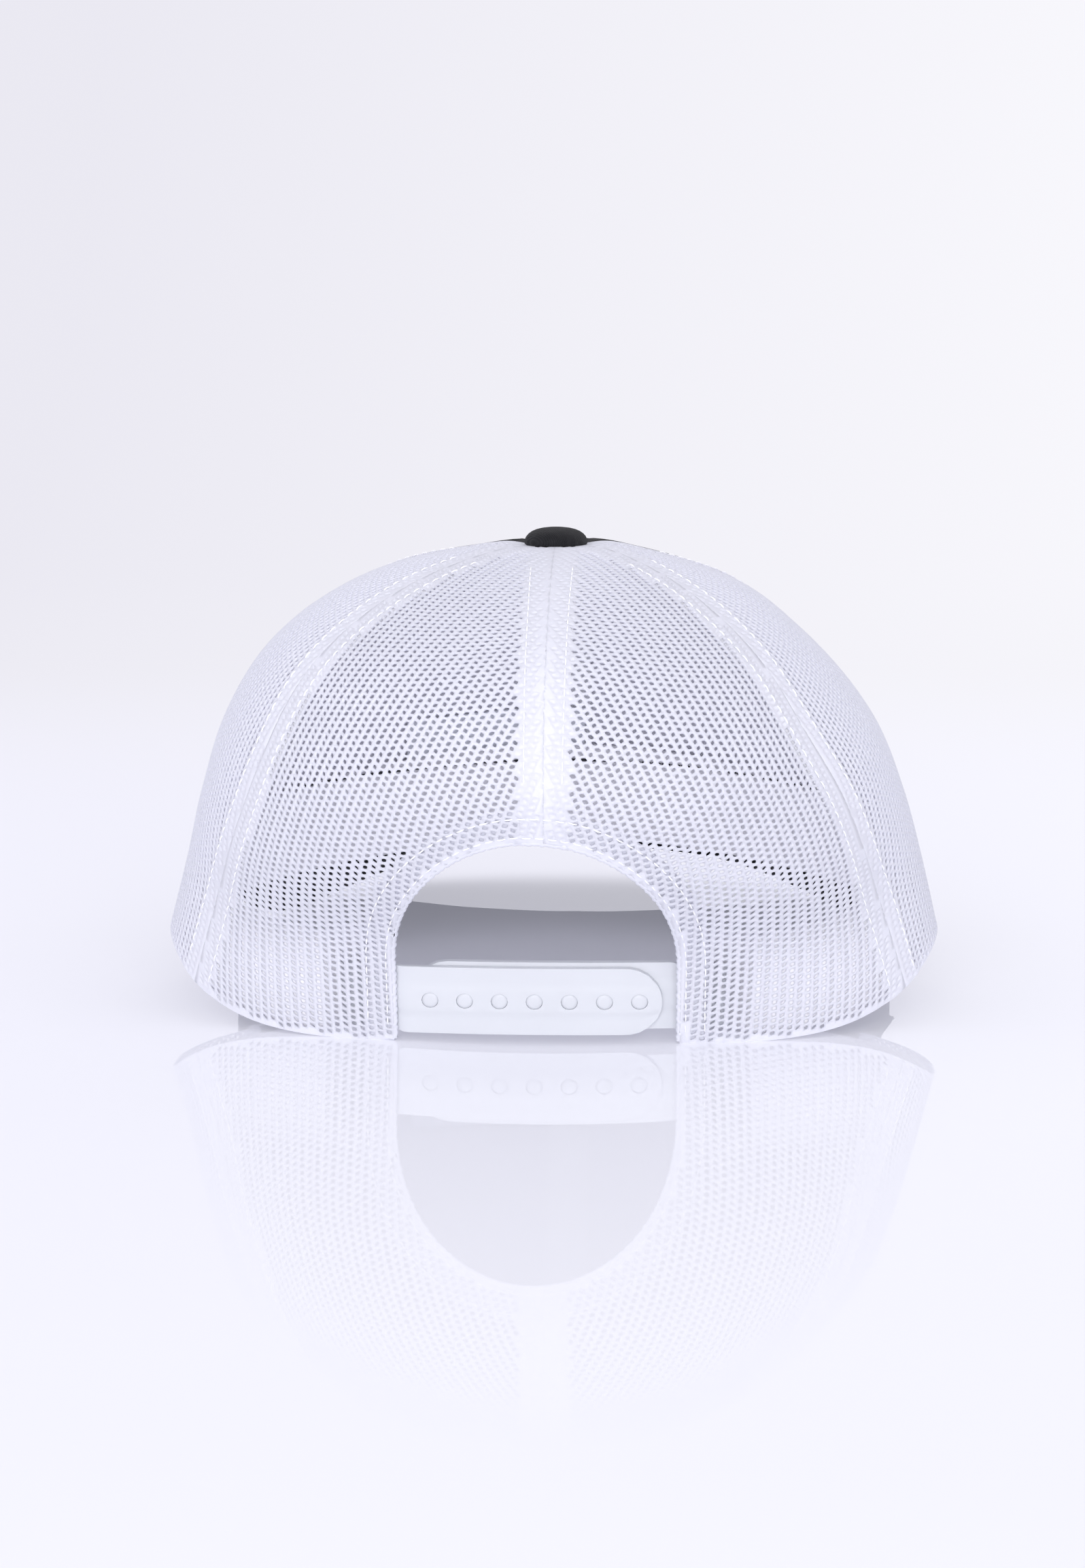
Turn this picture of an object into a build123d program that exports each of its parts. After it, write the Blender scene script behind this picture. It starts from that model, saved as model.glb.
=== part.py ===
from build123d import *
import math
import os

import numpy as np

# A six-panel trucker cap: two twill front panels with a lining, four mesh panels, a visor in
# three layers, a sweatband, a covered button and a two-part snap closure under a rear arch.
# It stands on the back of its rim and on the sides of its visor, as such a cap is put down.
# Frame: millimetres, +Z up, the visor towards -Y, the wearer's left towards +X, and the origin
# on the ground under the middle of the box that the cap fills.

# ---- crown: rings from the button (level 0) down to the rim (level 1) ----
# level | back y, z | half width | side y, z | front y, z | squareness of the back, of the front
RINGS = np.array([
    [0.00, 49.0, 114.3, 0.0, 49.0, 114.3, 49.0, 114.3, 2.00, 2.00],
    [0.04, 56.0, 114.1, 7.0, 48.0, 114.2, 42.0, 114.3, 2.00, 2.00],
    [0.08, 62.5, 113.4, 13.2, 47.0, 114.5, 35.0, 115.2, 2.00, 2.00],
    [0.15, 74.0, 111.2, 24.5, 45.0, 112.5, 23.0, 114.0, 2.00, 2.00],
    [0.30, 97.5, 102.0, 47.5, 41.0, 105.0, -2.0, 110.0, 2.05, 2.00],
    [0.45, 117.0, 88.0, 66.5, 38.0, 91.0, -25.0, 101.5, 2.10, 2.00],
    [0.60, 126.5, 66.0, 79.5, 37.0, 73.0, -43.0, 85.5, 2.20, 1.95],
    [0.75, 116.5, 44.0, 87.0, 36.0, 54.0, -53.0, 64.5, 2.35, 1.85],
    [0.88, 97.0, 21.5, 91.5, 36.0, 37.0, -56.0, 43.5, 2.50, 1.75],
    [1.00, 90.0, -0.3, 96.0, 35.4, 19.5, -56.0, 24.0, 2.60, 1.65],
])
SEAM_ANGLES = (0, 60, 120, 180)   # centre back, side back, front side, centre front
SEAM_DRAW = 10.0                  # degrees by which the side back seams draw in at mid height
CROWN_TOP = 0.02                  # the panels end here, round the button's shank
MESH_THICK = 0.9
TWILL_THICK = 0.8
PANEL_GAP = 0.3

# ---- layers inside the crown: depth of the outer face, thickness ----
LINING = (1.0, 0.5)
HEM = (1.0, 0.6)
TAPE = (1.7, 0.5)
TAB = (1.8, 1.2)
LABEL = (2.4, 0.3)
BAND = (3.3, 1.0)

TAPE_HALF = 6.4
TAPE_LEVELS = (0.045, 0.985)
BAND_TOP = (0.86, 0.825)          # at the back and at the front; 24 to 28 mm deep
BAND_LOW = 0.99
LABEL_ANGLES = (147.5, 184.0)      # off the centre, to the left
LABEL_LEVELS = (0.76, 0.84)

# ---- rear opening: a round arch over the strap, a little to the left of the centre seam ----
OPENING_X = 2.7
OPENING_HALF = 33.0
ARCH_SPRING = 19.5
HEM_WIDTH = 8.0

# ---- visor: its underside, in row heights, and half of its outline from the tip ----
VISOR_ANGLE = 62.0                # the visor's seam reaches this far round from the front
VISOR_LAYERS = {"visor_under_cover": (0.0, 0.7), "visor_board": (0.8, 1.8), "visor_top_cover": (2.7, 0.7)}
VISOR_SLOPE = 0.167
VISOR_CENTRE_Z = 22.9
VISOR_DROOP = 0.0018              # of x squared
VISOR_CURL = (0.25e-7, 2.2e-9)    # of x to the fourth: at y = 0, and growing forwards
VISOR_OUTLINE = np.array([
    [0.00, 0.0, -126.0],
    [0.20, 30.0, -123.5],
    [0.38, 54.0, -115.0],
    [0.52, 70.0, -99.0],
    [0.66, 79.5, -77.0],
    [0.80, 85.0, -49.0],
    [0.92, 86.5, -24.0],
    [1.00, 85.5, -7.0],
])

# ---- button ----
BUTTON_Y = 49.0
BUTTON_BASE = 114.6
BUTTON_R = 7.65
BUTTON_HEIGHT = 4.2
COVER_THICK = 0.5
SHELL_THICK = 0.6
SHANK_R = 1.6
BACK_R = 6.5
BACK_THICK = 1.0
BACK_TOP = 111.5

# ---- snap closure ----
STRAP_WIDTH = 18.0
STRAP_THICK = 1.2
STRAP_GAP = 0.15
STRAP_LEAN = 13.0                 # degrees, the top edge leaning outwards
STRAP_BEND_R = 150.0
STRAP_Y = 93.35                   # outer face at the middle of the strap
STRAP_Z = 10.65
HINGE_X = 31.2                    # from the middle of the opening
TAB_X = (33.6, 46.0)
TAB_Z = 18.6
TAB_HEIGHT = 16.0
SNAP_PITCH = 8.2
SNAP_COUNT = 7
HOLE_R = 2.25
PEG_R = 1.75
PEG_PROUD = 0.5
OUTER_TIP = -29.2                 # ends of the two straps, from the middle of the opening
INNER_TIP = 29.4
HINGE_GAP = 0.4
FIRST_SNAP = 25.3
INNER_RAISE = 1.0                 # the inner strap sits this much higher than the outer one


def smooth(stations, x):
    """The station rows' values at x, by a smooth cubic through every row."""
    xs, ys = stations[:, 0], stations[:, 1:]
    slopes = np.gradient(ys, xs, axis=0)
    i = min(max(int(np.searchsorted(xs, x)) - 1, 0), len(xs) - 2)
    h = xs[i + 1] - xs[i]
    s = (x - xs[i]) / h
    start = ys[i] * (1 + 2 * s) * (1 - s) ** 2 + slopes[i] * h * s * (1 - s) ** 2
    return start + ys[i + 1] * s * s * (3 - 2 * s) + slopes[i + 1] * h * s * s * (s - 1)


def ring_angle(angle, level):
    """Angle on the ring of a line that starts at a given angle under the button."""
    if abs(angle) > 120:
        return angle
    draw = SEAM_DRAW * math.sin(math.pi * level ** 0.65) if 0 < level < 1 else 0.0
    return angle - draw * math.sin(math.radians(1.5 * angle))


def ring_point(a, level):
    """Outer surface at ring angle a (degrees from the back, + to the wearer's left)."""
    back_y, back_z, width, side_y, side_z, front_y, front_z, n_back, n_front = smooth(RINGS, level)
    s, c = abs(math.sin(math.radians(a))), abs(math.cos(math.radians(a)))
    at_back = abs(a) <= 90
    n = n_back if at_back else n_front
    x = math.copysign(width * s ** (2 / n), a)
    if at_back:
        y = side_y + (back_y - side_y) * c ** (2 / n)
        z = back_z + (side_z - back_z) * s ** (2 + 3 * level)
    else:
        y = side_y + (front_y - side_y) * c ** (2 / n)
        z = side_z + (front_z - side_z) * c ** 2
    return np.array([x, y, z])


def crown(angle, level):
    """Outer surface of the crown, by angle round the button and level down to the rim."""
    angle = (angle + 180) % 360 - 180
    return ring_point(ring_angle(angle, level), level)


def mm_per_degree(angle, level):
    return np.linalg.norm(crown(angle + 0.5, level) - crown(angle - 0.5, level))


def back_place(x, z):
    """Angle and level of the crown's back surface at a given x and z."""
    low, high = 0.4, 1.01
    for _ in range(40):
        level = (low + high) / 2
        row = smooth(RINGS, level)
        s = min(1.0, (abs(x) / row[2])) ** (row[7] / 2)
        if row[1] + (row[4] - row[1]) * s ** (2 + 3 * level) > z:
            low = level
        else:
            high = level
    a = math.degrees(math.asin(s))
    angle = a
    for _ in range(30):
        angle += a - ring_angle(angle, level)
    return math.copysign(angle, x), level


def sheet(shape, us, vs, depth, thick):
    """Closed solid that follows shape(u, v), from a depth below it to depth + thick."""
    step = 1e-3

    def skin(offset):
        grid = []
        for v in vs:
            row = []
            for u in us:
                along_u = shape(u + step, v) - shape(u - step, v)
                along_v = shape(u, v + step) - shape(u, v - step)
                normal = np.cross(along_u, along_v)
                point = shape(u, v) + normal / np.linalg.norm(normal) * offset
                row.append(Vector(*point))
            grid.append(row)
        return Face.make_surface_from_array_of_points(grid)

    outer, inner = skin(-depth), skin(-depth - thick)
    faces = [outer, inner]
    for edge in outer.edges():
        partner = min(inner.edges(), key=lambda other: (edge @ 0.5 - other @ 0.5).length)
        faces.append(Face.make_surface_from_curves(edge, partner))
    return Solid(Shell(faces))


def gore(start, end, inset, levels, depth, thick, rows=29):
    """Part of the crown between two angles, inset by a distance from both seams."""
    def shape(u, level):
        low = start + inset / mm_per_degree(start, level)
        high = end - inset / mm_per_degree(end, level)
        return crown(low + (high - low) * u, level)
    return sheet(shape, np.linspace(0, 1, 13), np.linspace(*levels, rows), depth, thick)


def seam_tape(angle, levels):
    """Tape along one seam; near the button the six tapes taper to meet without overlapping."""
    def shape(u, level):
        scale = mm_per_degree(angle, level)
        room = 30 - PANEL_GAP / scale
        half = ((TAPE_HALF / scale) ** -6 + room ** -6) ** (-1 / 6)
        return crown(angle + u * half, level)
    depth, thick = TAPE
    return sheet(shape, np.linspace(-1, 1, 5), np.linspace(*levels, 33), depth, thick)


def arch_prism(half, bottom=-5.0):
    """Solid through the back of the crown, as wide as the arch at a given half width."""
    outline = make_face([
        Line((OPENING_X - half, bottom), (OPENING_X + half, bottom)),
        Line((OPENING_X + half, bottom), (OPENING_X + half, ARCH_SPRING)),
        ThreePointArc((OPENING_X + half, ARCH_SPRING), (OPENING_X, ARCH_SPRING + half),
                      (OPENING_X - half, ARCH_SPRING)),
        Line((OPENING_X - half, ARCH_SPRING), (OPENING_X - half, bottom)),
    ])
    return extrude(Plane((0, 160, 0), x_dir=(1, 0, 0), z_dir=(0, -1, 0)) * outline, amount=90)


def arch_shape(u, s):
    """Point on the back: u across the hem from the opening, s along it from end to end."""
    half = OPENING_HALF + 0.3 + HEM_WIDTH * u
    quarter = math.pi / 2 * half
    run = s * (ARCH_SPRING + quarter)
    side = 1 if run >= 0 else -1
    run = abs(run)
    if run > quarter:
        x, z = half, ARCH_SPRING - (run - quarter)
    else:
        x, z = half * math.sin(run / half), ARCH_SPRING + half * math.cos(run / half)
    return crown(*back_place(OPENING_X + side * x, z))


def make_crown():
    """Panels, linings, tapes, hem, sweatband, label and the sewn ends of the straps."""
    back_seam, side_seam, front_seam, centre_front = SEAM_ANGLES
    inset = PANEL_GAP / 2
    arch = arch_prism(OPENING_HALF)
    ground = Pos(0, 60, -10) * Box(300, 300, 20)
    nodes = {}
    for name, side in (("left", 1), ("right", -1)):
        def panel(start, end, *rest):
            low, high = sorted((side * start, side * end))
            return gore(low, high, *rest)
        levels = (CROWN_TOP, 1.0)
        nodes[f"front_panel_{name}"] = panel(front_seam, centre_front, inset, levels, 0, TWILL_THICK)
        nodes[f"front_lining_{name}"] = panel(front_seam, centre_front, 1.0, (0.05, 0.985), *LINING)
        nodes[f"side_mesh_panel_{name}"] = panel(side_seam, front_seam, inset, levels, 0, MESH_THICK)
        back = panel(back_seam, side_seam, inset, levels, 0, MESH_THICK)
        nodes[f"back_mesh_panel_{name}"] = back - arch - ground
        nodes[f"side_back_seam_tape_{name}"] = seam_tape(side * side_seam, TAPE_LEVELS)
        nodes[f"front_side_seam_tape_{name}"] = seam_tape(side * front_seam, TAPE_LEVELS)
    nodes["centre_front_seam_tape"] = seam_tape(centre_front, TAPE_LEVELS)
    arch_top = back_place(OPENING_X, ARCH_SPRING + OPENING_HALF + 1)[1]
    nodes["centre_back_seam_tape"] = seam_tape(back_seam, (TAPE_LEVELS[0], arch_top))
    nodes["opening_hem"] = sheet(arch_shape, np.linspace(0, 1, 4), np.linspace(-0.995, 0.995, 49),
                                 *HEM)
    nodes["sweatband"] = make_sweatband()
    nodes["inside_label"] = gore(*LABEL_ANGLES, 0, LABEL_LEVELS, *LABEL, 5)
    for name, side in (("outer", 1), ("inner", -1)):
        nodes[f"{name}_strap_sewn_end"] = strap_tab(side)
    return nodes


def make_sweatband():
    """Band round the inside of the rim, from one side of the opening to the other."""
    clear = OPENING_HALF + 2.0

    def shape(u, v):
        z = ring_point(25, BAND_TOP[0] + (BAND_LOW - BAND_TOP[0]) * v)[2]
        start = back_place(OPENING_X + clear, z)[0]
        end = 360 + back_place(OPENING_X - clear, z)[0]
        angle = start + (end - start) * u
        front_share = math.sin(math.radians(angle) / 2) ** 2
        top = BAND_TOP[0] + (BAND_TOP[1] - BAND_TOP[0]) * front_share
        return crown(angle, top + (BAND_LOW - top) * v)
    return sheet(shape, np.linspace(0, 1, 61), np.linspace(0, 1, 7), *BAND)


def strap_tab(side):
    """End of a strap that is sewn in between the hem and the sweatband."""
    left, right = sorted(side * x for x in TAB_X)

    def shape(x, drop):
        return crown(*back_place(OPENING_X + x, TAB_Z - drop))
    return sheet(shape, np.linspace(left, right, 5), np.linspace(0, TAB_HEIGHT, 5), *TAB)


def visor_root(u):
    return crown(180 - VISOR_ANGLE * u, 1.0)


def visor_underside(u, v):
    """Underside of the visor: u from side to side, v from the seam to the outer edge."""
    root = visor_root(u)
    slide = (visor_root(u + 0.01) - visor_root(u - 0.01))[:2]
    outward = np.array([slide[1], -slide[0]]) / np.linalg.norm(slide)
    root_xy = root[:2] + outward * 0.5
    edge_x, edge_y = smooth(VISOR_OUTLINE, min(abs(u), 1.002))
    edge_xy = np.array([math.copysign(edge_x, u), edge_y])
    x, y = root_xy + (edge_xy - root_xy) * v

    def height(x, y):
        curl = VISOR_CURL[0] - VISOR_CURL[1] * y
        return VISOR_CENTRE_Z + VISOR_SLOPE * (y + 56) - VISOR_DROOP * x ** 2 - curl * x ** 4
    join = root[2] - 1.0 - height(*root_xy)
    return np.array([x, y, height(x, y) + join * (1 - v) ** 2])


def make_visor():
    """The visor's two covers and the board between them."""
    nodes = {}
    for name, (lift, thick) in VISOR_LAYERS.items():
        nodes[name] = sheet(visor_underside, np.linspace(-1, 1, 33), np.linspace(0, 1, 7), lift, thick)
    return nodes


def dome(radius, height, base):
    """Solid dome with a short upright side."""
    side = 0.16 * height
    profile = make_face([
        Line((0, 0), (radius, 0)),
        Line((radius, 0), (radius, side)),
        Spline((radius, side), (0, height), tangents=[(0, 1), (-1, 0)]),
        Line((0, height), (0, 0)),
    ])
    return Pos(0, BUTTON_Y, base) * revolve(Plane.XZ * profile, Axis.Z)


def make_button():
    """Twill-covered metal button, with the plate that holds it from inside."""
    inner_r, inner_h = BUTTON_R - COVER_THICK, BUTTON_HEIGHT - COVER_THICK
    cover = dome(BUTTON_R, BUTTON_HEIGHT, BUTTON_BASE) - dome(inner_r, inner_h, BUTTON_BASE)
    gap = 0.05
    outer = dome(inner_r - gap, inner_h - gap, BUTTON_BASE)
    hollow = dome(inner_r - gap - SHELL_THICK, inner_h - gap - SHELL_THICK, BUTTON_BASE)
    shank_low = BACK_TOP - BACK_THICK
    shank_high = BUTTON_BASE + inner_h - SHELL_THICK
    shank = Pos(0, BUTTON_Y, (shank_low + shank_high) / 2) * Cylinder(SHANK_R, shank_high - shank_low)
    plate = Pos(0, BUTTON_Y, BACK_TOP - BACK_THICK / 2) * (
        Cylinder(BACK_R, BACK_THICK) - Cylinder(SHANK_R + 0.1, 2 * BACK_THICK))
    return {"button_cover": cover, "button_shell": (outer - hollow) + shank, "button_back": plate}


def strap_band(low_x, high_x, back):
    """Bent strip between two x positions, its outer face a given depth behind the outer one."""
    middle = STRAP_BEND_R - back
    ring = Circle(middle) - Circle(middle - STRAP_THICK)
    strip = extrude(Pos(0, -STRAP_BEND_R) * ring, amount=STRAP_WIDTH / 2, both=True)
    window = Pos((low_x + high_x) / 2, -10, 0) * Box(high_x - low_x, 60, STRAP_WIDTH)
    return strip & window


def round_tip(strip, tip_x, side):
    """Strip with its free end rounded to a half circle."""
    radius = STRAP_WIDTH / 2
    centre = Pos(tip_x - side * radius, 0, 0)
    end = centre * Box(4 * radius, 60, 2 * radius + 1)
    corner = Pos(tip_x, 0, 0) * Box(2 * radius, 60, 2 * radius + 1)
    disc = centre * Rot(90, 0, 0) * Cylinder(radius, 60)
    return strip - ((corner & end) - disc)


def make_straps():
    """The strap with holes, outside, and the strap with pegs behind it."""
    place = Pos(OPENING_X, STRAP_Y, STRAP_Z) * Rot(-STRAP_LEAN, 0, 0)
    snaps = [FIRST_SNAP - SNAP_PITCH * i for i in range(SNAP_COUNT)]
    outer = round_tip(strap_band(OUTER_TIP, HINGE_X - HINGE_GAP, 0), OUTER_TIP, -1)
    for x in snaps:
        outer -= Pos(x, 0, 0) * Rot(90, 0, 0) * Cylinder(HOLE_R, 60)
    back = STRAP_THICK + STRAP_GAP
    inner = round_tip(strap_band(-HINGE_X + HINGE_GAP, INNER_TIP, back), INNER_TIP, 1)
    inner = Pos(0, 0, INNER_RAISE) * inner
    for x in snaps:
        sag = STRAP_BEND_R - math.sqrt(STRAP_BEND_R ** 2 - x * x)
        length = STRAP_GAP + STRAP_THICK + PEG_PROUD + STRAP_THICK / 2
        peg = Cylinder(PEG_R, length, align=(Align.CENTER, Align.CENTER, Align.MIN))
        inner += Pos(x, PEG_PROUD - sag, 0) * Rot(90, 0, 0) * peg
    return {"snap_strap_outer": place * outer, "snap_strap_inner": place * inner}


def main():
    os.makedirs("parts", exist_ok=True)
    nodes = {**make_crown(), **make_visor(), **make_button(), **make_straps()}
    for name, shape in nodes.items():
        export_step(shape, f"parts/{name}.step")


if __name__ == "__main__":
    main()
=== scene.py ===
import math

import bmesh
import bpy
import numpy as np
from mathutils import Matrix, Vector
from numpy.linalg import norm


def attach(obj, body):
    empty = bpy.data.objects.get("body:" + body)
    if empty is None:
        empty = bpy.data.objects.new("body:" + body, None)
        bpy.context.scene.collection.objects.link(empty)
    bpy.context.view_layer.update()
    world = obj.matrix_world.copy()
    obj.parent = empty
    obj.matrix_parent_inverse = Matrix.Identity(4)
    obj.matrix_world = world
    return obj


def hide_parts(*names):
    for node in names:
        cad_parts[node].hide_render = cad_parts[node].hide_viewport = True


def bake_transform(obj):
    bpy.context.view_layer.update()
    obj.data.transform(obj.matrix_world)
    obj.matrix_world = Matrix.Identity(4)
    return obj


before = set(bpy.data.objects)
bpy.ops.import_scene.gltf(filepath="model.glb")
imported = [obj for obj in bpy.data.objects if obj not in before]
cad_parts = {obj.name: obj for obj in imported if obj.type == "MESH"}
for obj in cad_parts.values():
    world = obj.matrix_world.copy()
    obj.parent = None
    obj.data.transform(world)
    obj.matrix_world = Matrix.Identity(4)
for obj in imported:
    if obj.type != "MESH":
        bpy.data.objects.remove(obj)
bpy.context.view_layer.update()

# Lengths are in millimetres up to make_piece(), which turns them into metres.
MM = 0.001
rng = np.random.default_rng(7)

# ---- the crown's rings, as in the CAD model ----
# level | back y, z | half width | side y, z | front y, z | squareness of the back, of the front
RINGS = np.array([
    [0.00, 49.0, 114.3, 0.0, 49.0, 114.3, 49.0, 114.3, 2.00, 2.00],
    [0.04, 56.0, 114.1, 7.0, 48.0, 114.2, 42.0, 114.3, 2.00, 2.00],
    [0.08, 62.5, 113.4, 13.2, 47.0, 114.5, 35.0, 115.2, 2.00, 2.00],
    [0.15, 74.0, 111.2, 24.5, 45.0, 112.5, 23.0, 114.0, 2.00, 2.00],
    [0.30, 97.5, 102.0, 47.5, 41.0, 105.0, -2.0, 110.0, 2.05, 2.00],
    [0.45, 117.0, 88.0, 66.5, 38.0, 91.0, -25.0, 101.5, 2.10, 2.00],
    [0.60, 126.5, 66.0, 79.5, 37.0, 73.0, -43.0, 85.5, 2.20, 1.95],
    [0.75, 116.5, 44.0, 87.0, 36.0, 54.0, -53.0, 64.5, 2.35, 1.85],
    [0.88, 97.0, 21.5, 91.5, 36.0, 37.0, -56.0, 43.5, 2.50, 1.75],
    [1.00, 90.0, -0.3, 96.0, 35.4, 19.5, -56.0, 24.0, 2.60, 1.65],
])
SEAM_DRAW = 10.0       # degrees by which the rear seams are drawn towards the back
CROWN_TOP = 0.02       # level where the panels start, under the button

# ---- cloth layers of the crown: depth of the outer face, thickness ----
MESH_THICK = 0.55
TWILL_THICK = 0.8
LINING = (1.0, 0.5)
BACK_TAPE = (0.62, 0.5)
FRONT_TAPE = (1.7, 0.5)
LABEL = (2.4, 0.3)
BAND = (3.3, 1.0)
TAPE_HALF = 6.4        # half the width of the seam tapes
SHEET_EDGE = 48        # degrees: a sheet's corners sharper than this are shaded sharp
# pitch, length and radius of stitches
BLACK_STITCH = (3.0, 2.3, 0.24)
WHITE_STITCH = (2.9, 2.1, 0.2)
STITCH_END = 0.985     # level at which seam stitches, tapes and lining stop
TAPE_LEVELS = (0.045, STITCH_END)
BAND_TOP = (0.86, 0.825)      # level of the sweatband's top, at the back and at the front
BAND_LOW = 0.992
LABEL_ANGLES = (147.5, 184.0)
LABEL_LEVELS = (0.76, 0.84)

# ---- rear opening ----
OPENING_X = 2.7
OPENING_HALF = 33.0
ARCH_SPRING = 19.5
HALF_ARCH = ARCH_SPRING + math.pi / 2 * OPENING_HALF
HEM_ROLL = 0.6         # distance from the opening's edge where the mesh goes into the hem
BACK_Y = 60.0          # only points further back than this can lie in the opening

# ---- knitted mesh: columns of holes run along each panel, and lean over on the back ----
COLUMN_PITCH = 2.12
HOLE_PITCH = 1.50
# half width, half height, squareness, slope of the two kinds of hole, in alternate columns
ROUND_HOLE = (0.62, 0.50, 2.5, 0.15)
SLANTED_HOLE = (0.58, 0.39, 4.0, -0.35)
HOLE_CORNERS = 8
HOLE_SUNK = 0.12       # depth of a hole's edges under the faces, so the bars look round
DIMPLE_DEPTH = 0.22
SEAM_OVERLAP = 0.12    # by which neighbouring panels overlap along a seam
# share of the way down a back panel | how far its columns lean outwards there
COLUMN_LEAN = np.array([[0.0, 0.10], [0.3, 0.23], [0.5, 0.20], [0.62, 0.0], [0.8, -0.20], [1.0, -0.34]])
ROW_SLOPE = 0.2        # how far the rows of a back panel rise as they go outwards
# share of the way down | how far the cloth is stretched there
STRETCH = np.array([[0.0, 1.0], [0.56, 1.0], [0.66, 1.18], [0.79, 1.42], [0.91, 1.12], [1.0, 1.05]])

# ---- visor ----
VISOR_ANGLE = 62.0     # degrees of the rim, each side of the front, that carry the visor
VISOR_SLOPE = 0.167
VISOR_CENTRE_Z = 22.9
VISOR_DROOP = 0.0018   # fall of its sides, times x squared
VISOR_CURL = (0.25e-7, 2.2e-9)     # extra fall, times x to the fourth: fixed part, part for each -y
VISOR_THICK = 3.4
VISOR_END = 0.02       # share of its half turn by which the covers close past the board's corners
# place round the edge from the middle to a corner | x, y
VISOR_OUTLINE = np.array([
    [0.00, 0.0, -126.0],
    [0.20, 30.0, -123.5],
    [0.38, 54.0, -115.0],
    [0.52, 70.0, -99.0],
    [0.66, 79.5, -77.0],
    [0.80, 85.0, -49.0],
    [0.92, 86.5, -24.0],
    [1.00, 85.5, -7.0],
])
STITCH_ROWS = (5.0, 12.0, 19.0, 26.0, 33.0, 40.0, 47.0, 54.0)   # distances from the visor's edge

# ---- button ----
BUTTON_Y = 49.0
BUTTON_BASE = 114.6
BUTTON_R = 7.65
BUTTON_HEIGHT = 4.2

# ---- snap closure ----
STRAP_WIDTH = 17.1
STRAP_THICK = 1.2
STRAP_GAP = 0.15
STRAP_LEAN = math.radians(13)
STRAP_BEND_R = 150.0
STRAP_Y = 93.35
STRAP_Z = 10.65
STRAP_END_DROP = 0.35  # by which the straps' ends hang lower than their middle
HINGE_X = 31.2         # where a strap leaves the hem
TAB_END = 46.0         # end of its sewn part, which lies TAB_DEPTH under the cloth
TAB_DEPTH = 1.8
SNAP_PITCH = 8.2
SNAP_COUNT = 7
FIRST_SNAP = 25.3
SNAPS = FIRST_SNAP - SNAP_PITCH * np.arange(SNAP_COUNT)
SNAP_STRIP = 3.0       # half the width of the raised strip
HOLE_R = 2.0
PEG_R = 1.86
OUTER_TIP = -29.2
INNER_TIP = 29.4
INNER_RAISE = 1.0      # the inner strap sits this much higher than the outer one

# ---- camera ----
CAMERA_AT = (-0.0269, 0.7815, 0.1649)
CAMERA_YAW = 0.0412
CAMERA_PITCH = 0.1480
CAMERA_LENS = 69.15


# ---- Shape of the crown ----
def smooth(stations, x):
    """The station rows' values at x, by a smooth cubic through every row."""
    xs, ys = stations[:, 0], stations[:, 1:]
    slopes = np.gradient(ys, xs, axis=0)
    x = np.asarray(x, float)
    i = np.clip(np.searchsorted(xs, x) - 1, 0, len(xs) - 2)
    h = (xs[i + 1] - xs[i])[..., None]
    s = (x - xs[i])[..., None] / h
    start = ys[i] * (1 + 2 * s) * (1 - s) ** 2 + slopes[i] * h * s * (1 - s) ** 2
    return start + ys[i + 1] * s * s * (3 - 2 * s) + slopes[i + 1] * h * s * s * (s - 1)


def ring_angle(angle, level):
    """Angle on the ring of a line that starts at a given angle under the button."""
    draw = SEAM_DRAW * np.sin(np.pi * np.clip(level, 0, 1) ** 0.65)
    drawn = angle - draw * np.sin(np.radians(1.5 * angle))
    return np.where(np.abs(angle) > 120, angle, drawn)


def ring_point(a, level):
    """Outer surface at ring angle a (degrees from the back, + to the wearer's left)."""
    back_y, back_z, width, side_y, side_z, front_y, front_z, n_back, n_front = np.moveaxis(
        smooth(RINGS, level), -1, 0)
    s, c = np.abs(np.sin(np.radians(a))), np.abs(np.cos(np.radians(a)))
    at_back = np.abs(a) <= 90
    power = 2 / np.where(at_back, n_back, n_front)
    x = np.sign(a) * width * s ** power
    y = side_y + (np.where(at_back, back_y, front_y) - side_y) * c ** power
    z_back = back_z + (side_z - back_z) * s ** (2 + 3 * level)
    z_front = side_z + (front_z - side_z) * c ** 2
    return np.stack([x, y, np.where(at_back, z_back, z_front)], -1)


def crown(angle, level):
    """Outer surface of the crown, by angle round the button and level down to the rim."""
    angle, level = np.broadcast_arrays(np.asarray(angle, float), np.asarray(level, float))
    angle = (angle + 180) % 360 - 180
    point = ring_point(ring_angle(angle, level), level)
    # both sides lie a little to the wearer's left, most at a height of 90; the left stands higher
    far = np.minimum(1, (point[..., 0] / 60) ** 2)
    x, z = point[..., 0].copy(), point[..., 2]
    point[..., 0] += far * (1.1 + 1.7 * np.exp(-((z - 90) / 20) ** 2))
    point[..., 2] += 0.018 * x * np.clip((z - 60) / 40, 0, 1)
    return point


def unit(vectors):
    return vectors / np.maximum(norm(vectors, axis=-1, keepdims=True), 1e-9)


def run_length(points, axis=0):
    """Distance along rows of points from where they start."""
    steps = np.diff(points, axis=axis, prepend=points.take([0], axis))
    return np.cumsum(norm(steps, axis=-1), axis=axis)


def crown_normal(angle, level):
    """Unit vector out of the crown's smooth surface."""
    across = crown(angle + 0.05, level) - crown(angle - 0.05, level)
    down = crown(angle, level + 1e-3) - crown(angle, level - 1e-3)
    return unit(np.cross(across, down))


def mm_per_degree(angle, level):
    return norm(crown(angle + 0.5, level) - crown(angle - 0.5, level), axis=-1)


def soft_step(x):
    x = np.clip(x, 0, 1)
    return x * x * (3 - 2 * x)


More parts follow.
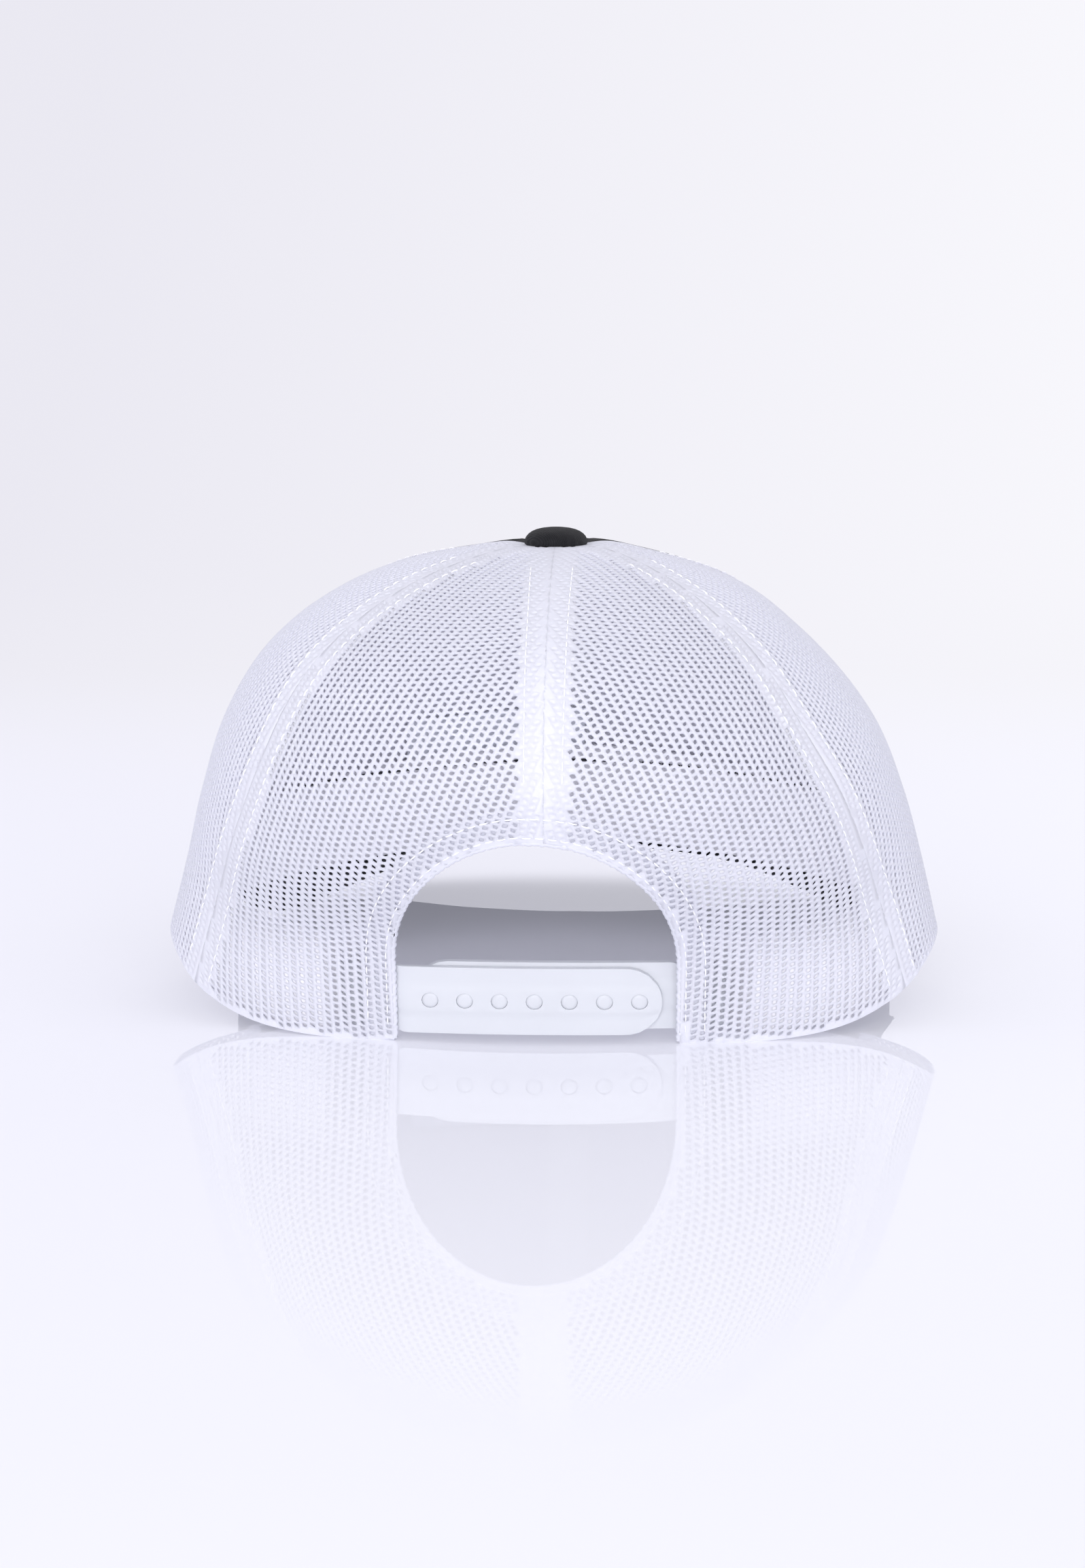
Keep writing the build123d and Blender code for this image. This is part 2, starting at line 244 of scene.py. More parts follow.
def seam_relief(angle, level):
    """Height of the cloth over the seams: a raised band, with a groove down it at the front."""
    angle = (np.asarray(angle, float) + 180) % 360 - 180
    nearest = np.round(angle / 60) * 60
    away = np.abs(angle - nearest) * mm_per_degree(nearest, level)
    band = 0.28 * soft_step((TAPE_HALF + 0.4 - away) / 1.2)
    groove = np.where(np.abs(angle) > 90, 0.10, 0.0)
    return band - groove * np.exp(-(away / 0.8) ** 2)


def sway(point):
    """Slight unevenness of the soft cloth."""
    x, y, z = np.moveaxis(point, -1, 0)
    return 0.28 * np.sin(x / 8.5 + 1.1 + z / 23) * np.sin(z / 12.5 + y / 31 + 0.4)


def skin_plain(angle, level, depth):
    """Point a depth under the crown's smooth surface, without seam bands."""
    return crown(angle, level) - crown_normal(angle, level) * np.asarray(depth)[..., None]


def skin(angle, level, depth):
    """Point on the cloth of the crown, a given depth under its outer face."""
    angle, level = np.broadcast_arrays(np.asarray(angle, float), np.asarray(level, float))
    lift = seam_relief(angle, level) + sway(crown(angle, level)) - depth
    return skin_plain(angle, level, -lift)


def back_place(x, z):
    """Angle and level of the crown's back surface at given x and z, closed in on step by step."""
    x, z = np.broadcast_arrays(np.asarray(x, float), np.asarray(z, float))
    low, high = np.full(x.shape, 0.4), np.full(x.shape, 1.01)
    for _ in range(40):
        level = (low + high) / 2
        _, back_z, width, _, side_z, _, _, n_back, _ = np.moveaxis(smooth(RINGS, level), -1, 0)
        s = np.minimum(1.0, np.abs(x) / width) ** (n_back / 2)
        above = back_z + (side_z - back_z) * s ** (2 + 3 * level) > z
        low, high = np.where(above, level, low), np.where(above, high, level)
    a = np.degrees(np.arcsin(s))
    angle = a.copy()
    for _ in range(30):
        angle += a - ring_angle(angle, level)
    return np.copysign(angle, x), level


# ---- Making pieces ----
def open_edges(polygons):
    """Directed edges that only one polygon uses."""
    starts = np.concatenate([p.ravel() for p in polygons])
    ends = np.concatenate([np.roll(p, -1, axis=1).ravel() for p in polygons])
    size = int(max(starts.max(), ends.max())) + 1
    forward, backward = starts * size + ends, ends * size + starts
    alone = ~np.isin(forward, backward)
    return starts[alone], ends[alone]


def grid_quads(rows, cols, closed=False):
    """Quads of a grid of points, row by row; closed joins the last column to the first."""
    r, c = np.meshgrid(np.arange(rows - 1), np.arange(cols if closed else cols - 1), indexing="ij")
    n = (c + 1) % cols
    corners = (r * cols + c, r * cols + n, (r + 1) * cols + n, (r + 1) * cols + c)
    return np.stack(corners, -1).reshape(-1, 4)


def merged(parts):
    """(points, polygons) of several parts as one."""
    points, polygons, base = [], [], 0
    for part_points, part_polygons in parts:
        points.append(part_points)
        polygons += [p + base for p in part_polygons]
        base += len(part_points)
    return np.concatenate(points), polygons


def closed_sheet(outer, thick):
    """Closed sheet under a grid of points whose normal, column x row, faces out."""
    rows, cols = outer.shape[:2]
    normals = unit(np.cross(np.gradient(outer, axis=1), np.gradient(outer, axis=0)))
    inner = outer - normals * thick
    count = rows * cols
    top = grid_quads(rows, cols)
    starts, ends = open_edges([top])
    walls = np.stack([ends, starts, starts + count, ends + count], -1)
    points = np.concatenate([outer.reshape(-1, 3), inner.reshape(-1, 3)])
    return points, [top, top[:, ::-1] + count, walls]


def swept(loops):
    """Closed solid through a row of section loops, shape (sections, points, 3)."""
    sections, count = loops.shape[:2]
    sides = grid_quads(sections, count, closed=True)
    caps = np.stack([np.arange(count)[::-1], np.arange(count) + (sections - 1) * count])
    return loops.reshape(-1, 3), [sides, caps]


def add_object(name, data):
    made = bpy.data.objects.new(name, data)
    bpy.context.collection.objects.link(made)
    return made


def make_piece(name, shape, finish, nodes=(), body="cap", cloth=None, sharp=None, flat_walls=0):
    """Blender mesh from points in mm and a list of polygon arrays, riding on a CAD body."""
    points, polygons = shape
    loops = np.concatenate([p.ravel() for p in polygons])
    used, loops = np.unique(loops, return_inverse=True)
    sizes = np.concatenate([np.full(len(p), p.shape[1]) for p in polygons])
    mesh = bpy.data.meshes.new(name)
    mesh.vertices.add(len(used))
    mesh.vertices.foreach_set("co", (points[used] * MM).astype(np.float32).ravel())
    mesh.loops.add(len(loops))
    mesh.loops.foreach_set("vertex_index", loops.astype(np.int32).ravel())
    mesh.polygons.add(len(sizes))
    starts = np.cumsum(sizes) - sizes
    mesh.polygons.foreach_set("loop_start", starts.astype(np.int32))
    mesh.update(calc_edges=True)
    mesh.validate()
    mesh.shade_smooth()
    for wall in mesh.polygons[len(mesh.polygons) - flat_walls:]:
        wall.use_smooth = False
    if sharp:
        mesh.set_sharp_from_angle(angle=math.radians(sharp))
    if cloth is not None and len(mesh.vertices) == len(used):
        cloth = np.pad(cloth[used], ((0, 0), (0, 3 - cloth.shape[1])))
        layer = mesh.attributes.new("cloth", "FLOAT_VECTOR", "POINT")
        layer.data.foreach_set("vector", cloth.astype(np.float32).ravel())
    mesh.materials.append(finish)
    piece = add_object(name, mesh)
    if nodes:
        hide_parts(*nodes)
    if body:
        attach(piece, body)
    return piece


def sheet_piece(name, node, grid, thick, finish, flat=None):
    """Sheet of cloth under a grid of points; flat is where each point lies in the flat cloth."""
    if flat is None:
        across = run_length(grid, 1)
        flat = np.stack([across - across[:, [grid.shape[1] // 2]], run_length(grid)], -1)
    cloth = np.concatenate([flat.reshape(-1, 2)] * 2)
    piece = make_piece(name, closed_sheet(grid, thick), finish, [node], cloth=cloth,
                       sharp=SHEET_EDGE)
    declare_cloth(grid)


def declare_cloth(grid):
    """Measures the flat size of a sheet along the cloth that its grid covers, and the area of its cells
    outside the opening; nothing uses these.
    """
    width, length = run_length(grid, 1).max() * MM, run_length(grid).max() * MM
    one, other = grid[1:, 1:] - grid[:-1, :-1], grid[1:, :-1] - grid[:-1, 1:]
    middle = (grid[1:, 1:] + grid[:-1, :-1]) / 2
    cut_out = (middle[..., 1] > BACK_Y) & (from_arch(middle[..., 0], middle[..., 2]) < OPENING_HALF)
    cells = np.where(cut_out, 0, norm(np.cross(one, other), axis=-1) / 2)


def stitch_row(path, normals, pitch, length, radius):
    """Threads along a path: each is a short capsule whose ends dive into the cloth."""
    run = run_length(path)
    centres = np.arange(pitch / 2, run[-1] - length / 2, pitch)
    stations = np.array([-0.5, -0.36, 0.0, 0.36, 0.5])
    widths = np.array([0.35, 0.85, 1.0, 0.85, 0.35]) * radius
    sides = 6
    turn = np.arange(sides) * 2 * np.pi / sides

    def along(values, s):
        return np.stack([np.interp(s, run, values[:, i]) for i in range(3)], -1)
    s = centres[:, None] + stations * length
    normal = unit(along(normals, s))
    side = np.cross(unit(along(path, s + 0.1) - along(path, s - 0.1)), normal)
    rise = radius * (0.55 - 1.5 * np.abs(stations * 2) ** 3)
    middle = along(path, s) + normal * rise[None, :, None]
    ring = np.cos(turn)[:, None] * side[:, :, None] + np.sin(turn)[:, None] * normal[:, :, None]
    points = middle[:, :, None] + ring * widths[None, :, None, None]
    quads, caps = swept(np.zeros((len(stations), sides, 3)))[1]
    offsets = (np.arange(len(centres)) * len(stations) * sides)[:, None, None]
    return points.reshape(-1, 3), [(quads + offsets).reshape(-1, 4), (caps + offsets).reshape(-1, sides)]


# ---- Materials ----
class Finish:
    """A material with a principled shader, and short helpers to wire it."""

    def __init__(self, name, color, roughness, **settings):
        self.material = bpy.data.materials.new(name)
        self.material.use_nodes = True
        self.tree = self.material.node_tree
        self.shader = self.tree.nodes["Principled BSDF"]
        self.shader.inputs["Base Color"].default_value = (*color, 1)
        self.shader.inputs["Roughness"].default_value = roughness
        for key, value in settings.items():
            self.shader.inputs[key.replace("_", " ")].default_value = value

    def node(self, kind, inputs=(), **settings):
        node = self.tree.nodes.new("ShaderNode" + kind)
        for key, value in settings.items():
            setattr(node, key, value)
        for key, value in dict(inputs).items():
            socket = node.inputs[key]
            if isinstance(value, bpy.types.NodeSocket):
                self.link(value, socket)
            else:
                socket.default_value = value
        return node

    def link(self, output, socket):
        self.tree.links.new(output, socket)

    def split(self, vector):
        return self.node("SeparateXYZ", {0: vector}).outputs

    def mix_over(self, other, share):
        """Another shader laid over the principled one, by a share."""
        mix = self.node("MixShader", {"Fac": share})
        self.link(self.shader.outputs[0], mix.inputs[1])
        self.link(other.outputs[0], mix.inputs[2])
        self.link(mix.outputs[0], self.tree.nodes["Material Output"].inputs["Surface"])

    def math(self, operation, first, second=0.0, third=0.0):
        inputs = {0: first, 1: second, 2: third}
        return self.node("Math", inputs, operation=operation).outputs[0]

    def place(self, cloth=False):
        if cloth:
            return self.node("Attribute", attribute_name="cloth").outputs["Vector"]
        return self.node("TexCoord").outputs["Object"]

    def noise(self, place, scale, detail=3.0, roughness=0.6):
        inputs = {"Vector": place, "Scale": scale, "Detail": detail, "Roughness": roughness}
        return self.node("TexNoise", inputs).outputs["Fac"]

    def ramp(self, factor, low, high, color_low, color_high):
        node = self.node("ValToRGB", {"Fac": factor})
        for stop, place, color in zip(node.color_ramp.elements, (low, high), (color_low, color_high)):
            stop.position = place
            stop.color = (*color, 1)
        return node.outputs["Color"]

    def paint(self, *ramp):
        self.link(self.ramp(*ramp), self.shader.inputs["Base Color"])

    def let_light_through(self, share, color):
        """Thin cloth: a share of the light that falls on it shows on its other side."""
        self.mix_over(self.node("BsdfTranslucent", {"Color": (*color, 1)}), share)

    def bump(self, height, distance, strength=1.0):
        before = self.shader.inputs["Normal"].links
        inputs = {"Height": height, "Distance": distance, "Strength": strength}
        if before:
            inputs["Normal"] = before[0].from_socket
        normal = self.node("Bump", inputs).outputs["Normal"]
        self.link(normal, self.shader.inputs["Normal"])


def twill_height(finish, cloth, pitch):
    """Diagonal ribs of a twill, broken up along their length."""
    x, y, _ = finish.split(cloth)
    ribs, beads = (
        finish.math("SINE", finish.math("MULTIPLY", finish.math("MULTIPLY_ADD", x, lean, y), turns))
        for lean, turns in ((1.0, 2 * math.pi / pitch), (-1.0, 2 * math.pi / (pitch * 0.8))))
    return finish.math("ADD", ribs, finish.math("MULTIPLY", beads, 0.35))


def weave_height(finish, cloth, pitch):
    """Plain weave: two crossed rows of threads."""
    x, y, _ = finish.split(cloth)
    warp, weft = (finish.math("SINE", finish.math("MULTIPLY", axis, 2 * math.pi / pitch))
                  for axis in (x, y))
    return finish.math("MULTIPLY", warp, weft)


def black_twill():
    finish = Finish("black_twill", (0.009, 0.009, 0.011), 0.85, Sheen_Weight=0.06, Sheen_Roughness=0.4,
                    Specular_IOR_Level=0.3)
    cloth = finish.place(cloth=True)
    height = twill_height(finish, cloth, 0.5)
    finish.bump(height, 0.00005)
    finish.bump(finish.noise(cloth, 1.7), 0.00008, 0.4)
    shade = finish.math("MULTIPLY_ADD", height, 0.22, finish.noise(cloth, 0.8))
    finish.paint(shade, 0.2, 0.85, (0.006, 0.006, 0.008), (0.015, 0.015, 0.018))
    return finish.material


def white_mesh():
    finish = Finish("white_mesh", (0.90, 0.90, 0.94), 0.75, Sheen_Weight=0.1, Sheen_Roughness=0.5)
    finish.let_light_through(0.20, (0.91, 0.915, 0.97))
    cloth = finish.place(cloth=True)
    finish.bump(weave_height(finish, cloth, 0.40), 0.00002, 0.5)
    finish.bump(finish.noise(cloth, 3.5), 0.00004, 0.4)
    finish.paint(finish.noise(cloth, 0.8), 0.3, 0.75, (0.84, 0.845, 0.93), (0.89, 0.895, 0.965))
    return finish.material


def pale_cloth(name, low, high, pitch, depth, height=weave_height):
    finish = Finish(name, high, 0.85, Sheen_Weight=0.08, Sheen_Roughness=0.5)
    cloth = finish.place(cloth=True)
    finish.bump(height(finish, cloth, pitch), depth)
    finish.bump(finish.noise(cloth, 2.0), 0.00008, 0.4)
    finish.paint(finish.noise(cloth, 0.5), 0.3, 0.75, low, high)
    return finish.material


def thread(name, color):
    finish = Finish(name, color, 0.6, Sheen_Weight=0.2)
    finish.bump(finish.noise(finish.place(), 4000.0, 2.0), 0.00004, 0.6)
    return finish.material


def plastic(name, color, roughness):
    finish = Finish(name, color, roughness, Specular_IOR_Level=0.4)
    place = finish.place()
    finish.bump(finish.noise(place, 900.0, 2.0), 0.00002, 0.35)
    finish.paint(finish.noise(place, 40.0, 2.0), 0.3, 0.7, [c * 0.97 for c in color], color)
    return finish.material


def plated_metal():
    finish = Finish("button_metal", (0.55, 0.55, 0.57), 0.35, Metallic=1.0)
    finish.bump(finish.noise(finish.place(), 1500.0), 0.00002, 0.3)
    return finish.material


TWILL = black_twill()
MESH = white_mesh()
# The lining's grey is partly its own colour and partly painted shade, darkened to match the shade inside
# the crown.
LINING_CLOTH = pale_cloth("pale_lining", (0.66, 0.655, 0.72), (0.73, 0.725, 0.78), 0.9, 0.00006)
TAPE_CLOTH = pale_cloth("seam_tape", (0.84, 0.84, 0.88), (0.90, 0.90, 0.93), 0.7, 0.00006, twill_height)
BAND_CLOTH = pale_cloth("sweatband_cloth", (0.93, 0.92, 0.96), (0.97, 0.96, 0.985), 0.7, 0.00002,
                        twill_height)
LABEL_CLOTH = pale_cloth("label_cloth", (0.82, 0.84, 0.90), (0.88, 0.90, 0.95), 0.35, 0.00002)
SNAP_PLASTIC = plastic("snap_plastic", (0.68, 0.695, 0.735), 0.42)
BOARD_PLASTIC = plastic("visor_board_plastic", (0.8, 0.8, 0.8), 0.5)
METAL = plated_metal()
BLACK_THREAD = thread("black_thread", (0.02, 0.02, 0.024))
WHITE_THREAD = thread("white_thread", (0.9, 0.9, 0.93))


# ---- Crown: mesh panels ----
class Gore:
    """Flat cloth coordinates of a panel: across from its centre line, and along it."""
    CELL = 0.5
    GRID = np.arange(-70, 70.25, CELL)

    def __init__(self, start, end, lean):
        self.lean = lean      # side to which the columns of holes lean, or 0
        self.centre = (start + end) / 2
        self.levels = np.linspace(0, 1, 201)
        self.along = run_length(crown(self.centre, self.levels))
        turns = np.linspace(-34, 34, 137)      # the panel's 60 degrees, and a little beyond
        across = run_length(crown(self.centre + turns[None, :], self.levels[:, None]), 1)
        across -= across[:, turns == 0]
        self.low, self.high = across[:, turns == -30][:, 0], across[:, turns == 30][:, 0]
        self.turns = np.array([np.interp(self.GRID, row, turns) for row in across])

    def lie(self, across, along):
        """Cloth coordinates of a lattice point, where columns lean and the cloth is stretched."""
        if not self.lean:
            return across, along
        along = along - ROW_SLOPE * self.lean * across
        steps = np.linspace(0, self.along[-1], 60)
        step, share = steps[1], steps / steps[-1]
        shift = np.cumsum(np.interp(share, *COLUMN_LEAN.T)) * step
        knit = np.concatenate([[0], np.cumsum(step / np.interp(share, *STRETCH.T)[1:])])
        beyond = along - np.clip(along, 0, knit[-1])
        along = np.interp(along, knit, steps) + beyond
        return across + self.lean * np.interp(along, steps, shift), along

    def edges(self, along):
        return np.interp(along, self.along, self.low), np.interp(along, self.along, self.high)

    def place(self, across, along):
        """Angle and level of a point of the cloth."""
        level = np.interp(along, self.along, self.levels)
        row, column = level * (len(self.levels) - 1), (across - self.GRID[0]) / self.CELL
        i, j = (np.clip(at.astype(int), 0, size - 2)
                for at, size in zip((row, column), self.turns.shape))
        f, g = row - i, column - j
        near, far = (self.turns[k, j] * (1 - g) + self.turns[k, j + 1] * g for k in (i, i + 1))
        return self.centre + near * (1 - f) + far * f, level

    def spread(self, places):
        """Angle and level of places of the lattice."""
        return self.place(*self.lie(places[..., 0], places[..., 1]))


def from_arch(x, z):
    """Distance of a point of the back from the rear opening's middle line, in its plane."""
    return np.hypot(x - OPENING_X, np.maximum(z - ARCH_SPRING, 0))


def onto_arch(x, z, half):
    """Nearest point of the arch of a given half width."""
    scale = half / np.maximum(from_arch(x, z), 1e-6)
    raised = ARCH_SPRING + np.maximum(z - ARCH_SPRING, 0) * scale
    return OPENING_X + (x - OPENING_X) * scale, np.where(z > ARCH_SPRING, raised, z)


def hole_outline(half_width, half_height, square, slope, mirror):
    t = np.arange(HOLE_CORNERS) * 2 * np.pi / HOLE_CORNERS
    c, s = (np.sign(v) * np.abs(v) ** (2 / square) for v in (np.cos(t), np.sin(t)))
    return np.stack([half_width * c, half_height * s + slope * mirror * half_width * c], -1)


def mesh_panel(name, start, end, node):
    """Knitted mesh with real holes, that turn to dimples where tape or hem backs the cloth."""
    mirror = 1 if start + end > 0 else -1
    gore = Gore(start, end, mirror if "back" in name else 0)
    top, rim = np.interp(CROWN_TOP, gore.levels, gore.along), gore.along[-1]
    half_row = HOLE_PITCH / 2
    columns = int(max(-gore.low.min(), gore.high.max()) / COLUMN_PITCH) + 10
    spare = 3 + int(8 * abs(gore.lean) / half_row)      # rows that the slope may bring in
    rows = np.arange(int(top / half_row) + 1 - spare, int(rim / half_row) + 1 + spare)

    # lattice points between the holes
    bar, row = np.meshgrid(np.arange(-columns, columns + 2), rows, indexing="ij")
    across, along = gore.lie((bar - 0.5) * COLUMN_PITCH, row * half_row)
    lattice = np.stack([across, along], -1).reshape(-1, 2)
    low, high = gore.edges(np.clip(along, top, rim))
    inside = (across >= low) & (across <= high) & (along >= top) & (along <= rim)
    angle, level = gore.place(np.clip(across, low - SEAM_OVERLAP, high + SEAM_OVERLAP),
                              np.clip(along, top, rim))
    x, y, z = np.moveaxis(crown(angle, level), -1, 0)
    arch_half = OPENING_HALF + HEM_ROLL
    in_arch = (from_arch(x, z) < arch_half) & (y > BACK_Y)
    whole = (inside & ~in_arch).ravel()
    if in_arch.any():
        x, z = onto_arch(x[in_arch], z[in_arch], arch_half)
        angle[in_arch], level[in_arch] = back_place(x, np.maximum(z, 0.0))

    # cells: one round each hole
    column, middle = np.meshgrid(np.arange(-columns, columns + 1), rows[1:-1], indexing="ij")
    keep = (column + middle) % 2 == 0
    column, middle = column[keep], middle[keep]
    base = (column + columns) * len(rows) + middle - rows[0]
    beside = base + len(rows)
    ring = np.stack([beside, beside + 1, base + 1, base, base - 1, beside - 1], -1)
    touched = whole[ring].any(axis=1)
    column, middle, ring = column[touched], middle[touched], ring[touched]
    full = whole[ring].all(axis=1)
    centre = np.stack([column * COLUMN_PITCH, middle * half_row], -1)
    across, along = gore.lie(*centre.T)
    low, high = gore.edges(along)
    x, y, z = crown(*gore.place(across, np.clip(along, top, rim))).T
    arch_room = np.where(y > BACK_Y, from_arch(x, z) - OPENING_HALF, np.inf)
    backed = (np.minimum(across - low, high - across) < TAPE_HALF - 0.5) | (arch_room < 1.6)
    dimple, through = full & backed, full & ~backed

    # corners of the holes
    holed = np.flatnonzero(full)
    outlines = np.stack([hole_outline(*kind, mirror) for kind in (ROUND_HOLE, SLANTED_HOLE)])
    size = 1 + rng.normal(0, 0.045, (len(holed), 1, 2))
    shift = rng.normal(0, 0.03, (len(holed), 1, 2))
    centre = centre[holed][:, None]
    hole = centre + outlines[column[holed] % 2] * size + shift
    hole_at, floor_at = gore.spread(hole), gore.spread(centre + (hole - centre) * 0.72)

    # points: outer lattice, outer hole edges, inner lattice, inner hole edges, dimple floors
    lattice_at = (angle, level)
    points = np.concatenate([skin(*at, depth).reshape(-1, 3) for at, depth in (
        (lattice_at, 0), (hole_at, HOLE_SUNK), (lattice_at, MESH_THICK),
        (hole_at, MESH_THICK - HOLE_SUNK), (floor_at, DIMPLE_DEPTH))])
    points[:, 2] = np.maximum(points[:, 2], 0.0)
    corners = hole.reshape(-1, 2)
    cloth = np.concatenate([lattice, corners, lattice, corners, corners])
    inner = len(lattice) + len(corners)
    corner = np.full((len(full), HOLE_CORNERS), -1)
    corner[holed] = len(lattice) + np.arange(len(corners)).reshape(-1, HOLE_CORNERS)

    def frames(select):
        """Faces between each cell's six lattice points and its hole."""
        b, h = ring[select].T, corner[select].T
        faces = [(b[0], b[1], h[1], h[0]), (b[2], b[3], h[4], h[3]), (b[3], b[4], h[5], h[4]),
                 (b[5], b[0], h[0], h[7]), (b[1], b[2], h[3], h[2], h[1]),
                 (b[4], b[5], h[7], h[6], h[5])]
        return [np.stack(face, -1) for face in faces]

    h = corner[dimple]
    floor = h + len(corners) + inner
    sides = np.stack([h, np.roll(h, -1, 1), np.roll(floor, -1, 1), floor], -1).reshape(-1, 4)
    outer_faces = frames(full) + [sides, floor, ring[~full]]
    inner_faces = [f[:, ::-1] + inner for f in frames(through) + [ring[~through]]]
    starts, ends = open_edges([f for f in outer_faces if len(f)])
    walls = np.stack([ends, starts, starts + inner, ends + inner], -1)
    faces = [f for f in outer_faces + inner_faces + [walls] if len(f)]
    piece = make_piece(name, (points, faces), MESH, [node], cloth=cloth,
                       flat_walls=len(walls))
    turns, levels = np.linspace(start, end, 61), np.linspace(CROWN_TOP, 1.0, 121)
    declare_cloth(crown(turns[None, :], levels[:, None]))


def make_mesh_panels():
    for side_name, side in (("left", 1), ("right", -1)):
        for part, low, high in (("back", 0, 60), ("side", 60, 120)):
            start, end = sorted((side * low, side * high))
            node = f"{part}_mesh_panel_{side_name}"
            mesh_panel(f"{part}_mesh_{side_name}", start, end, node)


# ---- Crown: twill, lining, tapes ----
def gore_grid(start, end, inset, levels, depth):
    """Grid on the crown between two angles, a distance inside both seams."""
    level = np.linspace(*levels, 73)[:, None]
    low = start + inset / mm_per_degree(start, level)
    high = end - inset / mm_per_degree(end, level)
    turn = np.pi * np.linspace(0, 1, 49)[None, :]
    share = 0.5 - 0.5 * np.cos(turn) * (1 - 0.25 * np.sin(turn) ** 2)      # closer near the seams
    return skin(low + (high - low) * share, level, depth)


def tape_grid(angle, levels, depth):
    """Grid of a seam's tape, narrower near the button, where the panels are narrow too."""
    level = np.linspace(*levels, 97)[:, None]
    u = np.linspace(-1, 1, 17)[None, :]
    if abs(angle) == 120:     # one half lies on the mesh panel, the other under the twill's lining
        beside_twill = soft_step(u * np.sign(angle) * 3 + 0.5)
        depth = BACK_TAPE[0] + (depth - BACK_TAPE[0]) * beside_twill
    scale = mm_per_degree(angle, level)
    room = 30 - 0.3 / scale
    half = ((TAPE_HALF / scale) ** -6 + room ** -6) ** (-1 / 6)
    for _ in range(3):
        reach = norm(crown(angle + half, level) - crown(angle, level), axis=-1)
        half = half * np.minimum(1, TAPE_HALF / reach)
    turn = angle + u * half
    lift = seam_relief(angle + 3 / scale, level) + sway(crown(turn, level)) - depth
    return skin_plain(turn, level, -lift)


def make_front():
    """Twill panels and their lining."""
    for name, side in (("left", 1), ("right", -1)):
        start, end = sorted((side * 120, side * 180))
        panel, lining = f"front_panel_{name}", f"front_lining_{name}"
        grid = gore_grid(start, end, 0.15, (CROWN_TOP, 1.0), 0)
        sheet_piece(f"front_twill_{name}", panel, grid, TWILL_THICK, TWILL)
        grid = gore_grid(start, end, 1.0, (0.05, STITCH_END), LINING[0])
        sheet_piece(f"lining_{name}", lining, grid, LINING[1], LINING_CLOTH)


def make_tapes():
    """Tapes inside the seams: name, angle of the seam, levels, layer and the panel it rests on."""
    arch_top = float(back_place(OPENING_X, ARCH_SPRING + OPENING_HALF + 1)[1])
    tapes = [("centre_front_seam_tape", 180, TAPE_LEVELS, FRONT_TAPE, "front_lining_left"),
             ("centre_back_seam_tape", 0, (TAPE_LEVELS[0], arch_top), BACK_TAPE,
              "back_mesh_panel_left")]
    for name, side in (("left", 1), ("right", -1)):
        for seam, angle, layer in (("front_side", 120, FRONT_TAPE), ("side_back", 60, BACK_TAPE)):
            tapes.append((f"{seam}_seam_tape_{name}", side * angle, TAPE_LEVELS, layer,
                          f"side_mesh_panel_{name}"))
    for node, angle, levels, (depth, thick), panel in tapes:
        sheet_piece(node.replace("seam_tape", "tape"), node, tape_grid(angle, levels, depth), thick,
                    TAPE_CLOTH)


def crown_stitches(angle, level, thread):
    return stitch_row(skin(angle, level, -0.02), crown_normal(angle, level), *thread)


def seam_stitches(angle, offset, levels, thread):
    """Stitches along a seam, a distance beside it."""
    level = np.linspace(*levels, 200)
    return crown_stitches(angle + offset / mm_per_degree(angle, level), level, thread)


def make_seam_stitches():
    black = [seam_stitches(side * angle, side * offset, (top, STITCH_END), BLACK_STITCH)
             for side in (1, -1) for angle, offset, top in ((180, -2.2, 0.06), (120, 2.4, 0.5))]
    rows = [(angle, offset, end) for angle, end in ((0, 0.60), (60, STITCH_END), (-60, STITCH_END))
            for offset in (-4.9, 4.9)] + [(120, -4.9, STITCH_END), (-120, 4.9, STITCH_END)]
    white = [seam_stitches(angle, offset, (0.16, end), WHITE_STITCH) for angle, offset, end in rows]
    make_piece("front_seam_stitching", merged(black), BLACK_THREAD)
    make_piece("mesh_seam_stitching", merged(white), WHITE_THREAD)


# ---- Opening hem, sweatband, label ----
def arch_line(away, run):
    """x and z at a distance outside the opening's edge; run goes from -1 to 1 along it."""
    half = OPENING_HALF + away
    quarter = math.pi / 2 * half
    span = run * (ARCH_SPRING + quarter)
    length = np.abs(span)
    turn = np.minimum(length / half, math.pi / 2)
    x = half * np.sin(turn)
    z = np.where(length > quarter, ARCH_SPRING - (length - quarter), ARCH_SPRING + half * np.cos(turn))
    return OPENING_X + np.sign(span) * x, z


